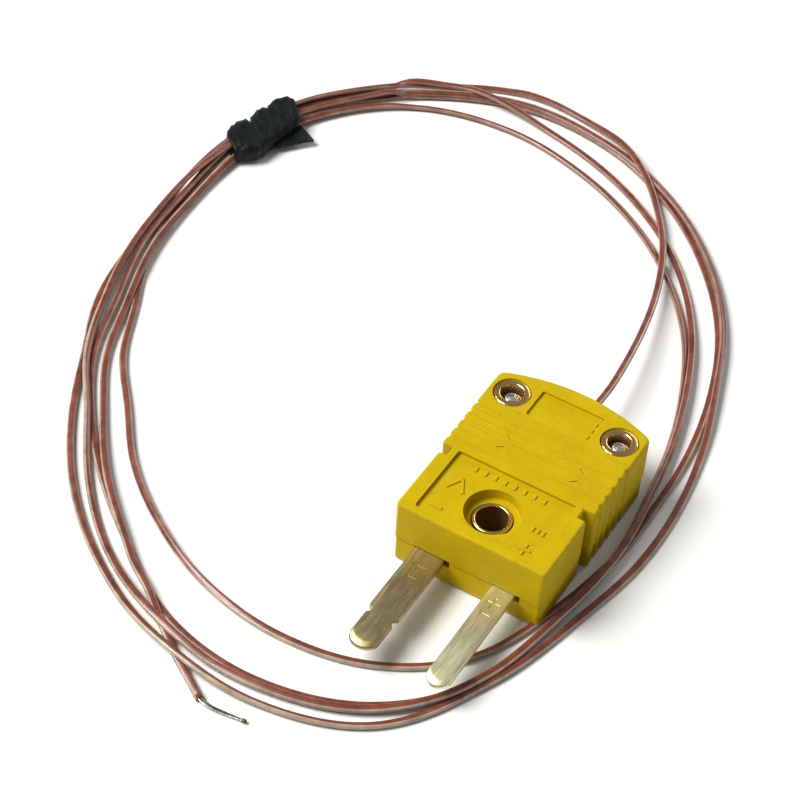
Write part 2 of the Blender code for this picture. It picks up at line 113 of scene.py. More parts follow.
def make_stage():
    """A pale floor that turns up into a backdrop behind the object, on one soft bend."""
    half, bend, bend_steps, top = 1.6, 0.5, 16, 1.5
    rear = half * 0.6
    outline = [(-half, FLOOR), (rear, FLOOR)]
    for k in range(1, bend_steps + 1):
        angle = math.pi / 2.0 * k / bend_steps
        outline.append((rear + bend * math.sin(angle), FLOOR + bend - bend * math.cos(angle)))
    outline.append((rear + bend, top))
    bm = bmesh.new()
    rows = [[bm.verts.new((x, y, z)) for x in (-half, half)] for y, z in outline]
    for low, high in zip(rows, rows[1:]):
        bm.faces.new((low[0], low[1], high[1], high[0]))
    mesh = bpy.data.meshes.new("floor")
    bm.to_mesh(mesh)
    bm.free()
    mesh.shade_smooth()
    floor = into_scene("floor", mesh)
    look = bpy.data.materials.new("pale_paper")
    look.use_nodes = True
    shader = look.node_tree.nodes["Principled BSDF"]
    shader.inputs["Base Color"].default_value = (0.82, 0.82, 0.82, 1.0)
    shader.inputs["Roughness"].default_value = 0.9
    shader.inputs["Specular IOR Level"].default_value = 0.2
    mesh.materials.append(look)


def make_lights():
    world = bpy.data.worlds.new("studio")
    bpy.context.scene.world = world
    world.use_nodes = True
    sky = world.node_tree.nodes["Background"].inputs
    sky["Color"].default_value = (1.0, 1.0, 1.0, 1.0)
    sky["Strength"].default_value = 0.24
    area_light("key", (-0.44, -0.22, 0.62), (-0.01, 0.01, 0.0), (0.42, 0.42), 9.5, (1.0, 0.985, 0.95))
    area_light("back", (0.10, 0.70, 0.35), (0.0, 0.0, 0.0), (0.50, 0.15), 1.2)
    bpy.context.scene.view_settings.view_transform = "Standard"
    bpy.context.scene.view_settings.look = "None"


# ---- materials


class Look:
    """A node material, with short helpers for building it. Lengths in its textures are in metres."""

    def __init__(self, name):
        self.material = bpy.data.materials.new(name)
        self.material.use_nodes = True
        self.tree = self.material.node_tree
        self.shader = self.tree.nodes["Principled BSDF"]
        self.place = self.tree.nodes.new("ShaderNodeTexCoord")

    def feed(self, socket, value):
        if isinstance(value, bpy.types.NodeSocket):
            self.tree.links.new(value, socket)
        else:
            socket.default_value = value

    def set(self, **values):
        for name, value in values.items():
            self.feed(self.shader.inputs[name.replace("_", " ")], value)

    def add(self, kind, settings=None, **inputs):
        node = self.tree.nodes.new(kind)
        for name, value in (settings or {}).items():
            setattr(node, name, value)
        for name, value in inputs.items():
            self.feed(node.inputs[name], value)
        return node

    def noise(self, scale, detail=3.0, stretch=(1.0, 1.0, 1.0), rough=0.55):
        place = self.add("ShaderNodeMapping", Vector=self.place.outputs["Object"], Scale=stretch).outputs[0]
        node = self.add("ShaderNodeTexNoise", Vector=place, Scale=scale, Detail=detail, Roughness=rough)
        return node.outputs["Fac"]

    def ramp(self, fac, stops):
        node = self.add("ShaderNodeValToRGB", Fac=fac)
        ramp = node.color_ramp
        while len(ramp.elements) < len(stops):
            ramp.elements.new(0.5)
        for element, (at, colour) in zip(ramp.elements, stops):
            element.position = at
            if isinstance(colour, float):
                colour = (colour, colour, colour)
            element.color = (*colour, 1.0)
        return node.outputs["Color"]

    def math(self, operation, a, b=0.0):
        node = self.add("ShaderNodeMath", {"operation": operation})
        self.feed(node.inputs[0], a)
        self.feed(node.inputs[1], b)
        return node.outputs["Value"]

    def mix(self, fac, a, b, blend="MIX"):
        node = self.add("ShaderNodeMix", {"data_type": "RGBA", "blend_type": blend})
        self.feed(node.inputs[0], fac)
        for socket, value in ((node.inputs[6], a), (node.inputs[7], b)):
            self.feed(socket, (*value, 1.0) if isinstance(value, tuple) else value)
        return node.outputs[2]

    def bump(self, *layers):
        """Bumps stacked on one another: (height, distance in metres, strength)."""
        normal = None
        for height, distance, strength in layers:
            node = self.add("ShaderNodeBump", Height=height, Distance=distance, Strength=strength)
            if normal is not None:
                self.tree.links.new(normal, node.inputs["Normal"])
            normal = node.outputs["Normal"]
        self.set(Normal=normal)

    def rough(self, fac, low, high):
        self.set(Roughness=self.ramp(fac, [(0.25, low), (0.75, high)]))

    def edge_mask(self, radius, low, high):
        """1 near an edge and 0 on flats: how far a rounded normal leans from the surface's own."""
        rounded = self.add("ShaderNodeBevel", {"samples": 4}, Radius=radius)
        plain = self.add("ShaderNodeNewGeometry")
        lean = self.add("ShaderNodeVectorMath", {"operation": "DOT_PRODUCT"})
        self.feed(lean.inputs[0], rounded.outputs["Normal"])
        self.feed(lean.inputs[1], plain.outputs["Normal"])
        leaning = self.math("SUBTRACT", 1.0, lean.outputs["Value"])
        return self.ramp(leaning, [(low, 0.0), (high, 1.0)])


# The grip band on the plug's upper face, in metres: from this y to that one, and above this height.
GRIP_START, GRIP_END, GRIP_HEIGHT = 0.0050, 0.0118, 0.0078


def grip_mask(look):
    """1 on the grip band and 0 elsewhere."""
    at = look.add("ShaderNodeSeparateXYZ", Vector=look.place.outputs["Object"]).outputs
    behind = look.math("GREATER_THAN", at["Y"], GRIP_START)
    before = look.math("LESS_THAN", at["Y"], GRIP_END)
    above = look.math("GREATER_THAN", at["Z"], GRIP_HEIGHT)
    return look.math("MULTIPLY", look.math("MULTIPLY", behind, before), above)


def yellow_nylon():
    """Moulded nylon: fine grain, faint flow marks, paler edges (a painted highlight, with some wear) and fine moulded
    lines across the grip.
    """
    look = Look("yellow_nylon")
    cloud = look.noise(260.0, 4.0)
    base = look.ramp(cloud, [(0.3, (0.445, 0.312, 0.0008)), (0.7, (0.505, 0.360, 0.0015))])
    speck = look.ramp(look.noise(2600.0, 2.0), [(0.30, (0.62, 0.50, 0.10)), (0.40, (1.0, 1.0, 1.0))])
    base = look.mix(0.30, base, speck, "MULTIPLY")
    # The edges are painted paler than the flats: a painted highlight along them, with some wear.
    edge_wear_and_light_mask = look.edge_mask(0.00020, 0.02, 0.16)
    base = look.mix(look.math("MULTIPLY", edge_wear_and_light_mask, 0.35), base, (0.62, 0.49, 0.02))
    look.set(Base_Color=base)
    look.rough(look.noise(900.0, 3.0), 0.46, 0.64)
    look.set(Specular_IOR_Level=0.16, Specular_Tint=(1.0, 0.86, 0.42, 1.0))
    lines = look.ramp(look.noise(60.0, 2.0, (1.0, 40.0, 1.0), 0.5), [(0.40, 0.0), (0.47, 1.0)])
    groove = look.math("MULTIPLY", look.math("SUBTRACT", 1.0, lines), grip_mask(look))
    grain, flow = look.noise(6500.0, 3.0), look.noise(700.0, 2.0)
    look.bump(
        (look.math("SUBTRACT", 1.0, groove), 0.00010, 0.55),
        (grain, 0.00002, 0.35),
        (flow, 0.00006, 0.20),
    )
    return look.material


# How a metal's fine scratches run: the texture is stretched along the axis with the small number.
ALONG_X = (0.1, 1.0, 1.0)
ALONG_Y = (1.0, 0.05, 1.0)
ALONG_Z = (1.0, 1.0, 0.05)
NO_WAY = (1.0, 1.0, 1.0)


def metal(name, dark, light, rough, scratch, stretch=ALONG_Y, spots=0.0, edge=1.35):
    """A brushed metal.

    Its scratches are that many metres deep, spots is how strongly it is stained, and the edge factor is how much
    brighter
    than the flats its edges are painted: a painted highlight with some wear, or below 1 a painted dark edge, as shade.
    """
    look = Look(name)
    look.set(Metallic=1.0)
    brushed = look.noise(9000.0, 3.0, stretch)
    cloud = look.noise(420.0, 4.0)
    base = look.ramp(cloud, [(0.25, dark), (0.75, light)])
    base = look.mix(0.25, base, look.ramp(brushed, [(0.3, 0.55), (0.7, 1.0)]), "MULTIPLY")
    if spots:
        stain = look.ramp(look.noise(1500.0, 4.0), [(0.62, 0.0), (0.74, 1.0)])
        base = look.mix(look.math("MULTIPLY", stain, spots), base, tuple(v * 0.35 for v in dark))
    # Edges are painted brighter than the flats, a painted highlight with some wear; with a factor below 1 they are
    # painted darker, painted shade along them.
    edge_wear_and_light_mask = look.edge_mask(0.00010, 0.02, 0.20)
    base = look.mix(look.math("MULTIPLY", edge_wear_and_light_mask, 0.6), base, tuple(min(1.0, v * edge) for v in light))
    look.set(Base_Color=base)
    look.rough(brushed, rough - 0.08, rough + 0.10)
    look.bump((brushed, scratch, 0.5), (look.noise(500.0, 2.0), 0.00003, 0.2))
    return look.material


def plastic(name, dark, light, rough, scale=1500.0, coat=0.0):
    look = Look(name)
    cloud = look.noise(scale, 4.0)
    look.set(Base_Color=look.ramp(cloud, [(0.3, dark), (0.7, light)]))
    look.rough(look.noise(scale * 2.0, 2.0), rough - 0.06, rough + 0.08)
    look.set(Coat_Weight=coat, Coat_Roughness=0.12)
    look.bump((look.noise(scale * 3.0, 2.0), 0.00001, 0.3))
    return look.material


def film_look():
    look = Look("black_film")
    cloud = look.noise(900.0, 5.0)
    look.set(Base_Color=look.ramp(cloud, [(0.3, (0.0018, 0.0032, 0.0036)), (0.75, (0.0060, 0.0085, 0.0090))]))
    look.rough(look.noise(1800.0, 3.0), 0.36, 0.64)
    look.set(Specular_IOR_Level=0.18)
    look.bump((look.noise(1400.0, 5.0), 0.00012, 0.55), (look.noise(5200.0, 3.0), 0.00003, 0.4))
    return look.material


def make_looks():
    """The looks by name. The record's material slots are among the names."""
    return {
        "yellow_nylon": yellow_nylon(),
        "brass": metal("brass", (0.70, 0.42, 0.15), (0.94, 0.64, 0.28), 0.20, 2e-6, ALONG_Z, 0.12),
        # Bores are painted in darker, rougher brass: the roughness is the metal's own, the darkness is painted shade.
        "bore": metal("brass_bore_painted_shade", (0.34, 0.20, 0.07), (0.55, 0.34, 0.13), 0.50, 4e-6, ALONG_Z, 0.3),
        "plated_steel": metal("plated_steel", (0.74, 0.73, 0.71), (0.94, 0.93, 0.90), 0.26, 3e-6, NO_WAY),
        # The screws' cross recess is painted in darker steel: painted shade.
        "recess": metal("screw_recess_painted_shade", (0.10, 0.10, 0.095), (0.26, 0.255, 0.24), 0.42, 3e-6, NO_WAY),
        # The blades' edges are painted darker than their flats: painted shade along them.
        "negative_alloy": metal(
            "negative_alloy", (0.40, 0.325, 0.165), (0.58, 0.48, 0.26), 0.36, 6e-6, spots=0.35, edge=0.55
        ),
        "positive_alloy": metal(
            "positive_alloy", (0.74, 0.70, 0.42), (0.95, 0.91, 0.60), 0.40, 6e-6, spots=0.25, edge=0.55
        ),
        "dark_wire": metal("wire_dark", (0.035, 0.042, 0.030), (0.09, 0.10, 0.07), 0.35, 2e-6, ALONG_X),
        "pale_wire": metal("wire_pale", (0.34, 0.34, 0.32), (0.60, 0.60, 0.57), 0.28, 2e-6, ALONG_X),
        "bead": metal("weld_bead", (0.06, 0.05, 0.025), (0.20, 0.17, 0.09), 0.40, 4e-6, NO_WAY, 0.5),
        "grommet_rubber": plastic("grommet_rubber", (0.015, 0.015, 0.015), (0.035, 0.034, 0.033), 0.65),
        "lead_insulation": plastic("lead_red", (0.105, 0.021, 0.011), (0.225, 0.054, 0.030), 0.34, 700.0, 0.22),
        "jacket": plastic("lead_jacket", (0.22, 0.115, 0.080), (0.36, 0.220, 0.160), 0.32, 700.0, 0.25),
        "pale_insulation": plastic("lead_pale", (0.26, 0.190, 0.130), (0.44, 0.350, 0.265), 0.30, 700.0, 0.35),
        "black_film": film_look(),
    }


# ---- mesh helpers


def shade(mesh, sharp):
    """Smooth shading, but for the edges of more than that many degrees, if any number is given."""
    mesh.shade_smooth()
    if sharp:
        mesh.set_sharp_from_angle(angle=math.radians(sharp))


def place_mesh(name, mesh, looks, body, sharp=32.0):
    obj = into_scene(name, mesh)
    for look in looks:
        mesh.materials.append(look)
    shade(mesh, sharp)
    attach(obj, body)
    return obj


def mesh_of(name, points, faces, slots=None):
    """A mesh from points in millimetres."""
    mesh = bpy.data.meshes.new(name)
    mesh.from_pydata([tuple(MM * float(v) for v in p) for p in points], [], faces)
    if slots is not None:
        mesh.polygons.foreach_set("material_index", slots)
    bm = bmesh.new()
    bm.from_mesh(mesh)
    bmesh.ops.recalc_face_normals(bm, faces=bm.faces)
    bm.to_mesh(mesh)
    bm.free()
    return mesh


def loft(name, rings, slots_of=None):
    """A closed skin through rings of points with the same number in each."""
    count = len(rings[0])
    points = [point for ring in rings for point in ring]
    faces, slots = [], []
    for a in range(0, len(points) - count, count):
        for i in range(count):
            j = (i + 1) % count
            faces.append((a + i, a + j, a + count + j, a + count + i))
            slots.append(slots_of(i) if slots_of else 0)
    faces += [tuple(range(count)), tuple(range(len(points) - count, len(points)))]
    return mesh_of(name, points, faces, slots + [0, 0])


def catmull(a, b, c, d, t):
    """The Catmull-Rom cubic between b and c."""
    square, cube = 2.0 * a - 5.0 * b + 4.0 * c - d, 3.0 * b - a - 3.0 * c + d
    return (2.0 * b + (c - a) * t + square * t**2 + cube * t**3) / 2.0


def past_ends(values):
    """The list with one more value at each end, so that a cubic can run right to its ends."""
    values = list(values)
    return [2.0 * values[0] - values[1]] + values + [2.0 * values[-1] - values[-2]]


def smooth_route(knots, steps):
    """A smooth line through the knots, with that many steps between two of them."""
    knots = [np.array(k, float) for k in knots]
    ends = past_ends(knots)
    out = []
    for a, b, c, d in zip(ends, ends[1:], ends[2:], ends[3:]):
        out += [catmull(a, b, c, d, k / steps) for k in range(steps)]
    out.append(knots[-1])
    return np.array(out)


def frames(route):
    """Each point of a line, with a level and an upright direction square to it."""
    tangents = np.gradient(route, axis=0)
    tangents /= np.linalg.norm(tangents, axis=1)[:, None]
    for point, tangent in zip(route, tangents):
        level = np.cross(tangent, (0.0, 0.0, 1.0))
        level /= np.linalg.norm(level)
        yield point, level, np.cross(level, tangent)


def even_route(points, spacing):
    """The same line with its points an even distance apart."""
    steps = np.linalg.norm(np.diff(points, axis=0), axis=1)
    along = np.concatenate([[0.0], np.cumsum(steps)])
    count = max(2, int(round(along[-1] / spacing)) + 1)
    wanted = np.linspace(0.0, along[-1], count)
    return np.stack([np.interp(wanted, along, points[:, i]) for i in range(3)], axis=1)


# ---- the lead and its coil

LEAD_WIDTH = 0.80
LEAD_THICK = 0.50
LEAD_EXIT = (0.0, 17.6, LEAD_Z)
# How far apart the points of the lead's middle line are.
LEAD_SPACING = 0.8

# From the plug down to the coil, as in the CAD's own route.
LEAD_ROUTE = (
    LEAD_EXIT, (0.05, 19.0, 3.2), (0.1, 20.5, 3.22), (0.1, 24.0, 3.12), (-0.3, 28.0, 2.85), (-0.9, 32.0, 2.45),
    (-1.7, 36.0, 2.0), (-2.6, 39.5, 1.6), (-3.6, 42.6, 1.3), (-4.6, 45.2, 1.2),
)

# The coil is an oval on the floor, measured from its own middle, one pair of radii every 15 degrees.
COIL_MIDDLE = (-20.0, 16.3)
COIL_TURN = math.radians(28.6)
COIL_INNER = (
    42.0, 40.4, 37.3, 34.3, 31.7, 29.7, 28.4, 28.0, 28.6, 30.7, 33.6, 36.0,
    37.0, 35.6, 33.2, 30.5, 28.4, 27.2, 27.2, 28.2, 30.4, 32.9, 37.0, 40.5,
)
COIL_OUTER = (
    47.4, 48.4, 45.6, 41.8, 38.2, 35.2, 33.0, 32.3, 32.8, 34.1, 36.2, 40.2,
    44.6, 44.4, 41.9, 38.7, 35.6, 33.6, 32.7, 33.1, 34.3, 36.8, 40.6, 44.3,
)
TIE_ANGLE = math.radians(-25.7)
TIE_LIFT = 0.45

# How far across the band each turn lies, 0 inside and 1 outside, one number per station against the clock.
# The first turn starts at 45 degrees, where the lead comes in, and the last one stops four and a half turns on.
FIRST_STATION = 45.0
STATION = 15.0
TURNS = (
    # lead comes in, first turn along the outside
    0.59, 0.96, 0.97, 0.82, 0.86, 0.78, 0.90, 0.95, 1.04, 0.97, 1.02, 1.05,
    0.99, 0.98, 0.95, 0.96, 0.95, 0.90, 0.96, 0.96, 0.97, 0.95, 0.99, 0.98,
    0.90, 0.77, 0.63, 0.48,
    # second turn along the inside
    0.50, 0.55, 0.44, 0.24, 0.07, 0.13, 0.03, 0.06, 0.02, -0.01, -0.02, -0.02,
    0.00, -0.38, 0.12, 0.39, 0.65, 0.84, 0.89, 0.86, 0.83, 0.77, 0.62, 0.46,
    # third
    0.41, 0.42, 0.81, 0.89, 0.86, 0.89, 0.74, 0.80, 0.82, 0.81, 0.75, 0.73,
    0.78, 0.22, 0.17, 0.12, 0.13, 0.18, 0.27, 0.34, 0.35, 0.36, 0.44, 0.82,
    # fourth
    0.86, 0.60, 0.52, 0.59, 0.56, 0.75, 0.68, 0.59, 0.53, 0.67, 0.67, 0.64,
    0.71, 0.11, 0.10, 0.06, 0.06, 0.07, 0.09, 0.06, 0.04, 0.02, 0.02, 0.03,
    # last, to the free end
    0.08, 0.08, 0.14, 0.17, 0.27, 0.47, 0.46, 0.51, 0.55, 0.82,
)
# The free end leaves the coil and runs to the measuring tip.
TAIL_ROUTE = (
    (-25.3, -20.4, 0.42), (-23.0, -22.2, 0.42), (-20.6, -23.95, 0.42), (-17.85, -25.85, 0.42), (-15.6, -27.2, 0.42),
    (-14.4, -27.95, 0.42), (-13.6, -28.42, 0.42),
)


def around(table, angle):
    """What a table that goes once round the coil says at that angle."""
    place_in_table = (angle / (2.0 * math.pi) * len(table)) % len(table)
    k = int(place_in_table)
    near = [table[(k + step) % len(table)] for step in (-1, 0, 1, 2)]
    return catmull(*near, place_in_table - k)


def coil_point(angle, radius, z):
    """A point at that angle and radius about the coil's middle."""
    across = radius * math.sin(angle)
    along = radius * math.cos(angle)
    x = COIL_MIDDLE[0] + across * math.cos(COIL_TURN) - along * math.sin(COIL_TURN)
    y = COIL_MIDDLE[1] + across * math.sin(COIL_TURN) + along * math.cos(COIL_TURN)
    return (x, y, z)


def coil_route():
    """The lead's middle line from above, at even steps. Only the part from the plug to the coil has its height yet."""
    lead_steps, turn_steps, tail_steps = 12, 20, 8
    lead = smooth_route(LEAD_ROUTE, lead_steps)
    places = past_ends(TURNS)
    turns = []
    for k in range(len(TURNS) - 1):
        for step in range(turn_steps):
            t = step / turn_steps
            place = catmull(*places[k:k + 4], t)
            angle = math.radians(FIRST_STATION - STATION * (k + t))
            inner = around(COIL_INNER, angle) + LEAD_WIDTH / 2.0
            outer = around(COIL_OUTER, angle) - LEAD_WIDTH / 2.0
            turns.append(coil_point(angle, inner + place * (outer - inner), 0.0))
    turns = np.array(turns)
    tail = smooth_route(TAIL_ROUTE, tail_steps)
    # The ends that meet are trimmed a little, and a bridge joins each pair.
    into_coil = bridge(lead[-13], lead[-12], turns[6], turns[7])
    out_of_coil = bridge(turns[-17], turns[-16], tail[4], tail[5])
    joined = np.concatenate([lead[:-12], into_coil, turns[7:-16], out_of_coil, tail[5:]])
    return even_route(joined, LEAD_SPACING)


def bridge(before, start, end, after):
    """A smooth piece of line from start to end that keeps their directions."""
    span = np.linalg.norm(end - start)
    out = (start - before) / np.linalg.norm(start - before) * span
    into = (after - end) / np.linalg.norm(after - end) * span
    points = []
    for t in np.linspace(0.0, 1.0, 14):
        shares = (2 * t**3 - 3 * t**2 + 1, t**3 - 2 * t**2 + t, -2 * t**3 + 3 * t**2, t**3 - t**2)
        points.append(shares[0] * start + shares[1] * out + shares[2] * end + shares[3] * into)
    return np.array(points)


def coil_angle(x, y):
    """The angle about the coil's middle, for one point or for arrays of them."""
    x, y = x - COIL_MIDDLE[0], y - COIL_MIDDLE[1]
    across = x * math.cos(COIL_TURN) + y * math.sin(COIL_TURN)
    along = y * math.cos(COIL_TURN) - x * math.sin(COIL_TURN)
    return np.arctan2(across, along)


def tie_lift(x, y):
    """How high the turns ride where the tie passes under them: fully near the tie, and fading out beside it."""
    full, none = math.radians(6.0), math.radians(24.0)
    off = abs((coil_angle(x, y) - TIE_ANGLE + math.pi) % (2.0 * math.pi) - math.pi)
    t = min(max((none - off) / (none - full), 0.0), 1.0)
    return TIE_LIFT * t * t * (3.0 - 2.0 * t)


def lead_twist(s):
    """How far the flat lead has turned about its own line, that many millimetres from the plug."""
    return math.radians(20.0 * math.sin(s / 23.0) + 16.0 * math.sin(s / 9.7 + 1.3) - 6.0)


# The first stretch of the lead, up to this far from the plug, keeps the heights of LEAD_ROUTE.
HANGING = 32.0
# Two strands closer than this share a place, and the upper one rides this much higher.
STRAND_REACH = 0.86
STRAND_RISE = 0.56
# How far a hump over a lower strand runs out to each side, and how often the heights are worked out again.
HUMP_REACH = 9.0
HUMP_ROUNDS = 3
# Where the coil's turns are counted from, and where the lead coming in lies on top of everything.
TURN_START = math.radians(-2.6)
ON_TOP_UNTIL = math.radians(-16.6)
# Which turn lies under which, from the lowest: second, fourth, last, first, third, and the lead on top.
TURN_LEVELS = (3, 0, 4, 1, 2)
LEAD_LEVEL = 5


def strand_levels(route):
    """The level of the strand at each point: a strand passes over all those of a lower level."""
    # The angle is counted on without jumps from one turn to the next.
    turned = TURN_START - np.unwrap(coil_angle(route[:, 0], route[:, 1]))
    turn = np.clip(turned // (2.0 * math.pi), 0, len(TURN_LEVELS) - 1).astype(int)
    return np.where(turned < ON_TOP_UNTIL, LEAD_LEVEL, np.array(TURN_LEVELS)[turn])


def spread_out(lifted, reach, window):
    """Each lift drawn out along the line to both sides, fading as the window does."""
    spread = np.zeros(len(lifted))
    for shift, share in zip(range(-reach, reach + 1), window):
        moved = np.roll(lifted, shift)
        if shift > 0:
            moved[:shift] = 0.0
        elif shift < 0:
            moved[shift:] = 0.0
        spread = np.maximum(spread, moved * share)
    return spread


def lay_down(route):
    """Heights along the route: it rests on the floor, and rides over itself in long low humps."""
    along = np.arange(len(route)) * LEAD_SPACING
    core = LEAD_THICK / 2.0
    tilt = np.array([abs(math.sin(lead_twist(s))) for s in along])
    lift = np.array([tie_lift(x, y) for x, y in route[:, :2]])
    base = core + 0.01 + (LEAD_WIDTH / 2.0 - core) * tilt + lift
    hanging = along < HANGING
    base[hanging] = np.maximum(route[hanging, 2], base[hanging])
    heights = base.copy()
    levels = strand_levels(route)
    reach = int(HUMP_REACH / LEAD_SPACING)
    window = np.cos(np.linspace(-math.pi / 2.0, math.pi / 2.0, 2 * reach + 1)) ** 2
    for _ in range(HUMP_ROUNDS):
        for level in range(1, LEAD_LEVEL + 1):
            mine = np.where(levels == level)[0]
            under = np.where(levels < level)[0]
            gap = route[mine][:, None, :2] - route[under][None, :, :2]
            distance = np.linalg.norm(gap, axis=2)
            rise = STRAND_RISE * np.sqrt(np.clip(1.0 - (distance / STRAND_REACH) ** 2, 0.0, 1.0))
            rise = np.where(distance < STRAND_REACH, heights[under][None, :] + rise, 0.0)
            need = base.copy()
            need[mine] = np.maximum(need[mine], rise.max(axis=1))
            new = base + spread_out(need - base, reach, window)
            heights[mine] = np.maximum(new[mine], base[mine])
    kernel = np.hanning(7)
    kernel /= kernel.sum()
    return np.convolve(np.pad(heights, 3, mode="edge"), kernel, mode="valid")


def twin_section(points=20):
    """Two round cores side by side under one jacket, seen end on. Half the points belong to each core."""
    core = LEAD_THICK / 2.0
    shift = LEAD_WIDTH / 2.0 - core
    out = []
    for k in range(points):
        angle = 2.0 * math.pi * (k + 0.5) / points
        side = 1.0 if math.cos(angle) > 0 else -1.0
        x = side * shift + core * math.cos(angle)
        # The waist between the cores is a shallow groove.
        waist = 1.0 - min(1.0, abs(x) / (0.6 * shift))
        out.append((x, core * math.sin(angle) * (1.0 - 0.16 * waist)))
    return out


def make_lead(looks):
    route = coil_route()
    route[:, 2] = lay_down(route)
    section = twin_section()
    rings = []
    for i, (point, level, above) in enumerate(frames(route)):
        twist = lead_twist(i * LEAD_SPACING)
        # -level points to the coil's inside, because the turns run against the clock.
        across = math.cos(twist) * level + math.sin(twist) * above
        upright = math.cos(twist) * above - math.sin(twist) * level
        rings.append([point + a * across + b * upright for a, b in section])
    length = float(np.linalg.norm(np.diff(route, axis=0), axis=1).sum())
    # The red core takes the middle, the pale one the outer side, and the clear jacket edges the inner side.
    red, pale, jacket = 0, 1, 2
    slots = []
    for (x0, _), (x1, _) in zip(section, section[1:] + section[:1]):
        slots.append(pale if min(x0, x1) > 0.15 else jacket if max(x0, x1) < -0.28 else red)
    mesh = loft("lead", rings, slots_of=lambda i: slots[i])
    lead = place_mesh("lead", mesh, (looks["lead_insulation"], looks["pale_insulation"], looks["jacket"]), "plug", None)
    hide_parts("lead_cable", "lead_coil", "lead_tail")
    return lead, route, length


# ---- the two shells


def arc(cx, cy, radius, start, end, steps):
    out = []
    for k in range(steps + 1):
        angle = math.radians(start + (end - start) * k / steps)
        out.append((cx + radius * math.cos(angle), cy + radius * math.sin(angle)))
    return out


# The plug from above: half the width of the front block, of the rear body and of the neck between them.
BLOCK_HALF, BODY_HALF, NECK_HALF = 7.95, 8.28, 7.10
BLOCK_REAR_Y, BODY_FRONT_Y = 3.20, 4.35
# One groove of the side grip, as steps in from the wall and along it.
GROOVE = ((0.0, -0.40), (0.03, -0.31), (0.18, -0.07), (0.18, 0.07), (0.03, 0.31), (0.0, 0.40))


def rear_y(x, inset):
    """The bowed rear wall."""
    return 17.40 - inset - 1.73 * (x / 8.25) ** 2


def body_outline(inset):
    """The plug from above, every wall moved in by the inset.

    The front block is a little wider and shorter than the CAD's, and the corners are finer.
    """
    front, side, neck = BLOCK_HALF - inset, BODY_HALF - inset, NECK_HALF - inset
    corner, rear_corner = 0.45, 0.35
    right = arc(BLOCK_HALF - corner, FRONT_Y + corner, corner - inset, -90.0, 0.0, 7)
    right += arc(BLOCK_HALF - rear_corner, BLOCK_REAR_Y - rear_corner - inset, rear_corner, 0.0, 90.0, 3)
    right = [(min(x, front), y) for x, y in right]
    right += [(neck, BLOCK_REAR_Y - inset), (neck, BODY_FRONT_Y + 0.3 * inset)]
    for x, y in ((0.25, BODY_FRONT_Y), (0.07, 4.41), (0.0, 4.55)):
        right.append((side - x, y + 0.3 * inset))
    for k in range(5):
        valley = 5.55 + 1.30 * k
        right += [(side - x, valley + y) for x, y in GROOVE]
    for x, y in ((0.0, 15.05), (0.04, 15.30), (0.15, 15.55), (0.34, 15.74)):
        right.append((side - x, y - inset))
    for k in range(16):
        x = 7.70 * (1.0 - k / 16.0)
        right.append((x - inset * x / 8.25, rear_y(x, inset)))
    left = [(-x, y) for x, y in reversed(right)]
    return right + [(0.0, rear_y(0.0, inset))] + left


def prism(name, outline, bottom, top):
    return loft(name, [[(x, y, z) for x, y in outline] for z in (bottom, top)])


def block(name, low, high):
    outline = [(low[0], low[1]), (high[0], low[1]), (high[0], high[1]), (low[0], high[1])]
    return prism(name, outline, low[2], high[2])


def soft_rectangle(x0, y0, x1, y1, radius):
    out = []
    for x, y, start in (
        (x1 - radius, y0 + radius, -90.0), (x1 - radius, y1 - radius, 0.0),
        (x0 + radius, y1 - radius, 90.0), (x0 + radius, y0 + radius, 180.0),
    ):
        out += arc(x, y, radius, start, start + 90.0, 3)
    return out


def lathe(name, profile, sides, at=(0.0, 0.0, 0.0), ring=False, slots_of=None, wobble=None):
    """A shape turned about Z from (radius, z) pairs. A ring's profile closes on itself."""
    points, rows, faces, slots = [], [], [], []
    for radius, z in profile:
        if radius == 0.0:
            points.append((at[0], at[1], at[2] + z))
            rows.append([len(points) - 1] * sides)
            continue
        for k in range(sides):
            angle = 2.0 * math.pi * k / sides
            r = radius + (wobble(radius, z, angle) if wobble else 0.0)
            points.append((at[0] + r * math.cos(angle), at[1] + r * math.sin(angle), at[2] + z))
        rows.append(list(range(len(points) - sides, len(points))))
    pairs = list(zip(rows, rows[1:]))
    if ring:
        pairs.append((rows[-1], rows[0]))
    for index, (low, high) in enumerate(pairs):
        for k in range(sides):
            j = (k + 1) % sides
            # At a tip two corners are one point, which is taken once.
            faces.append(tuple(dict.fromkeys((low[k], low[j], high[j], high[k]))))
            slots.append(slots_of(index) if slots_of else 0)
    return mesh_of(name, points, faces, slots)


def plain_hole(name, radius, low, high, sides, at):
    """A cylinder to cut a round hole with."""
    return lathe(name, [(0.0, low), (radius, low), (radius, high), (0.0, high)], sides, at)


def laid_back(mesh, at):
    """The turned mesh with its axis laid along +Y, starting at that point."""
    mesh.transform(Matrix.Translation([v * MM for v in at]) @ Matrix.Rotation(-math.pi / 2.0, 4, "X"))
    return mesh


def modify(obj, name, kind, **settings):
    modifier = obj.modifiers.new(name, kind)
    for setting, value in settings.items():
        setattr(modifier, setting, value)


def carve(obj, cutters):
    """Cuts the meshes out of the object one after another, and leaves nothing of them in the scene."""
    for mesh in cutters:
        other = into_scene("cutter", mesh)
        modify(obj, "cut", "BOOLEAN", operation="DIFFERENCE", solver="EXACT", object=other)
        bake(obj)
        bpy.data.objects.remove(other, do_unlink=True)


def soften(obj, width):
    """Rounds the sharp edges a little, as a moulded or tumbled part has them."""
    modify(
        obj, "soft_edges", "BEVEL", width=width * MM, segments=2, limit_method="ANGLE",
        angle_limit=math.radians(35.0), miter_outer="MITER_ARC", use_clamp_overlap=True,
    )
    bake(obj)
    shade(obj.data, 45.0)
    modify(obj, "flat_faces", "WEIGHTED_NORMAL", keep_sharp=True, weight=100)


